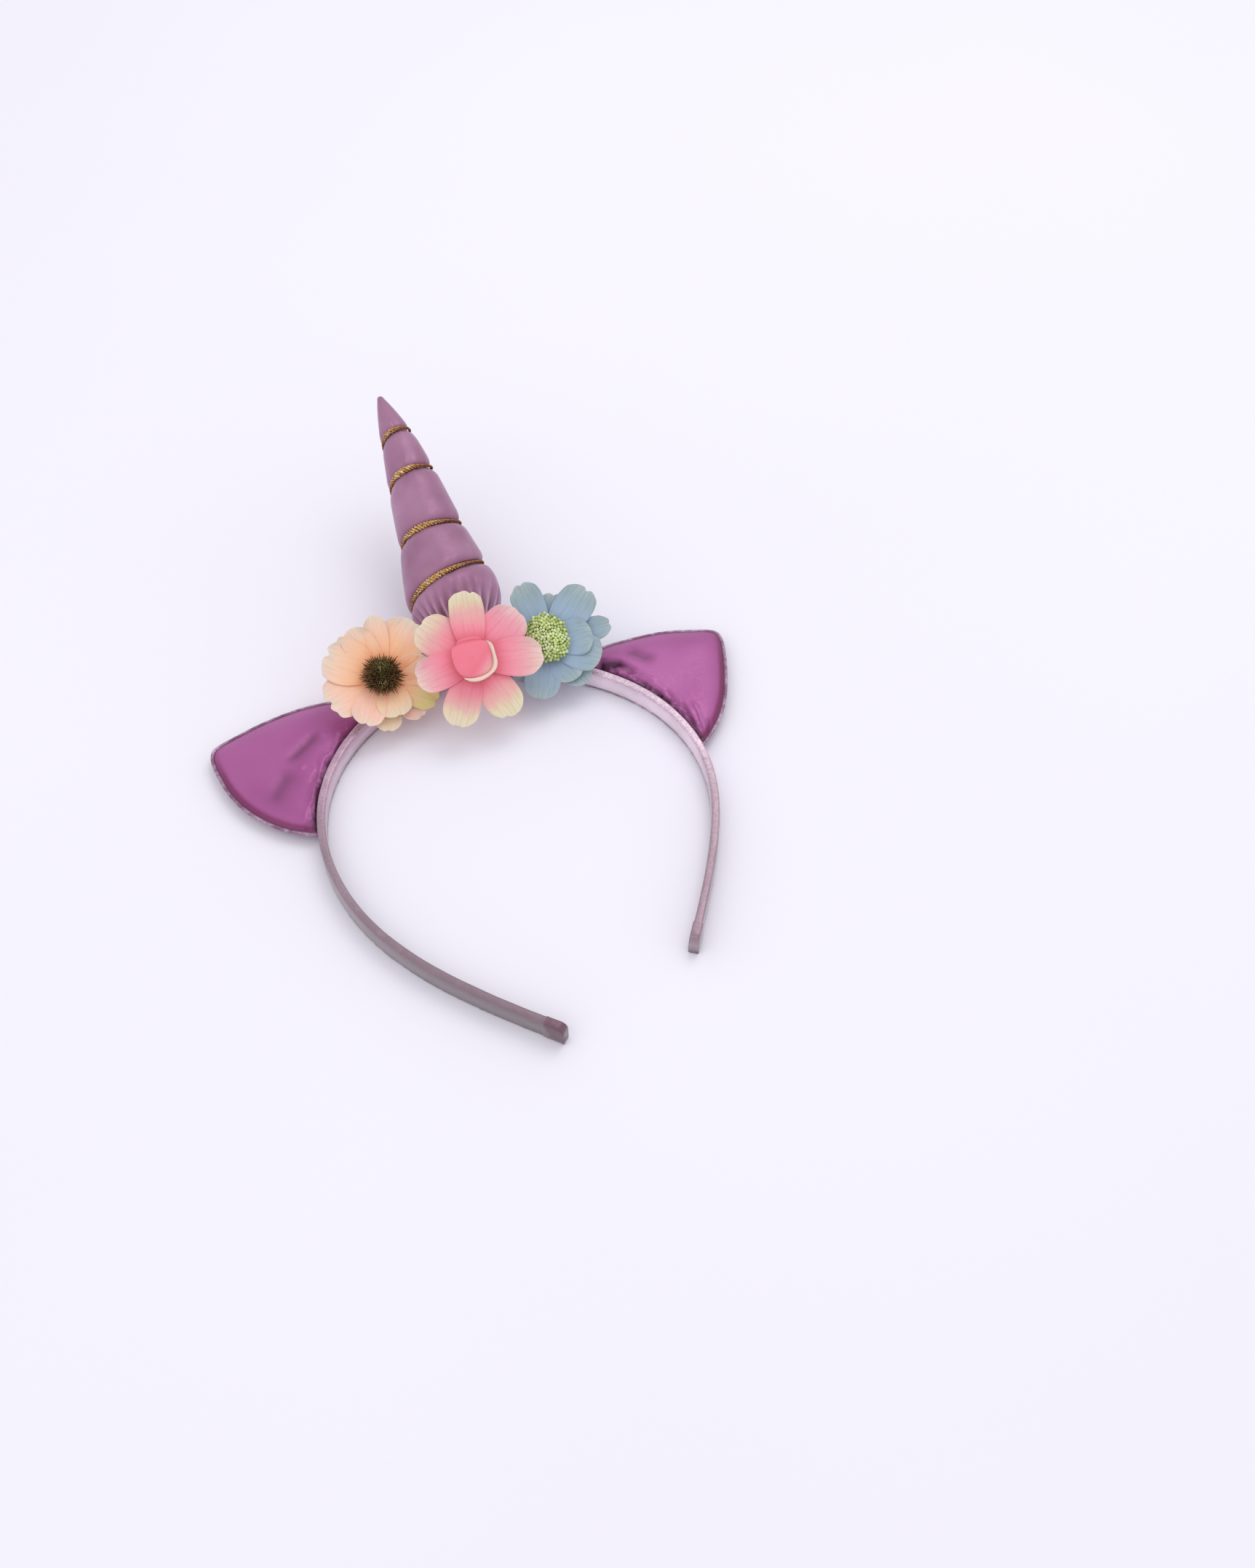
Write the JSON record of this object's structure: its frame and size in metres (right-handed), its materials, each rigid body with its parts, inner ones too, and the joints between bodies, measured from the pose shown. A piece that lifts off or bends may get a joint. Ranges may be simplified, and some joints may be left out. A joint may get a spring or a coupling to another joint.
{
  "type": "unicorn horn headband",
  "caption": "Costume hair band covered with metallic ribbon, with padded ears, a stuffed horn wound with gold cord, and cloth flowers along the top.",
  "frame": {"origin": "middle of the box around the whole headband, at the height of the band's back edge, on which it lies", "axes": "+X across the head to the blue flower's side, +Y from the band's ends to the horn's tip, +Z from the band's back edge to the front edge that carries the flowers"},
  "size_m": [0.1816, 0.2506, 0.0445],
  "materials": {
    "band_ribbon": "satin",
    "ear_leatherette": "satin",
    "horn_satin": "satin",
    "gold_cord": "satin",
    "peach_cloth": "matte",
    "brush_fibre": "matte",
    "pink_cloth": "matte",
    "blue_cloth": "matte",
    "stamen_pips": "matte",
    "moulded_foot": "matte"
  },
  "bodies": {
    "root": {"band": "band_ribbon", "ear_left": "ear_leatherette", "ear_right": "ear_leatherette", "horn": "horn_satin", "horn_cord": "gold_cord", "peach_back_petals": "peach_cloth", "peach_front_petals": "peach_cloth", "peach_brush": "brush_fibre", "peach_foot": "moulded_foot", "pink_petals": "pink_cloth", "pink_bud": "pink_cloth", "pink_foot": "moulded_foot", "blue_back_petals": "blue_cloth", "blue_front_petals": "blue_cloth", "blue_stamens": "stamen_pips", "blue_foot": "moulded_foot"}
  },
  "joints": []
}
